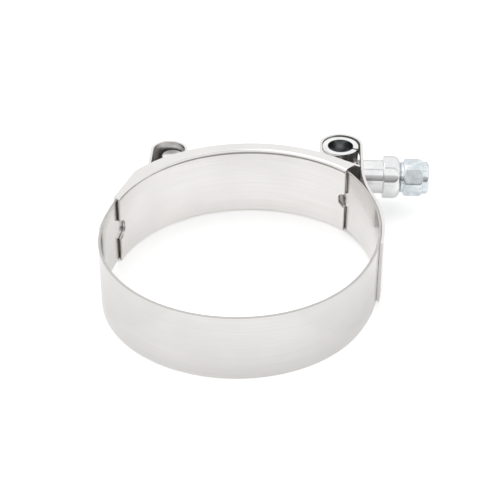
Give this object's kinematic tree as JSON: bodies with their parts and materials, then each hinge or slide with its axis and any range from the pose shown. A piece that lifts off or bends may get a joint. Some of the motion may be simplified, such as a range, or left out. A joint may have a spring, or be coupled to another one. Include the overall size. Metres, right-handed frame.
{
  "type": "t bolt clamp",
  "caption": "Hose clamp with a flat steel band, folded end loops and a flanged bridge inside the gap, drawn closed by a T bolt with a sleeve and a lock nut.",
  "frame": {"origin": "centre of the round front of the bore, half way up the band", "axes": "+Z along the hose, +X along the bolt towards the nut, +Y from the hose to the bolt"},
  "size_m": [0.0916, 0.0927, 0.021],
  "materials": {
    "stainless_strip": "bright annealed stainless strip",
    "plated_steel": "bright zinc plate on turned steel",
    "nylon": "plain moulded nylon"
  },
  "bodies": {
    "clamp": {"band": "stainless_strip", "head_loop": "stainless_strip", "trunnion_loop": "stainless_strip", "bridge": "stainless_strip", "t_bolt": "plated_steel", "trunnion": "plated_steel"},
    "sleeve": {"sleeve": "plated_steel"},
    "nut": {"lock_nut": "plated_steel", "nut_insert": "nylon"}
  },
  "joints": [
    {"name": "sleeve_slide", "type": "slide", "parent": "clamp", "child": "sleeve", "axis": [1, 0, 0], "range_m": [0, 0.006]},
    {"name": "nut_turn", "type": "hinge", "parent": "sleeve", "child": "nut", "pos_m": [0.0458, 0.04759, 0], "axis": [1, 0, 0], "range_deg": [0, 2160]}
  ],
  "couplings": [
    {"joint": "sleeve_slide", "follows": "nut_turn", "m_per_rad": 0.00015915}
  ]
}
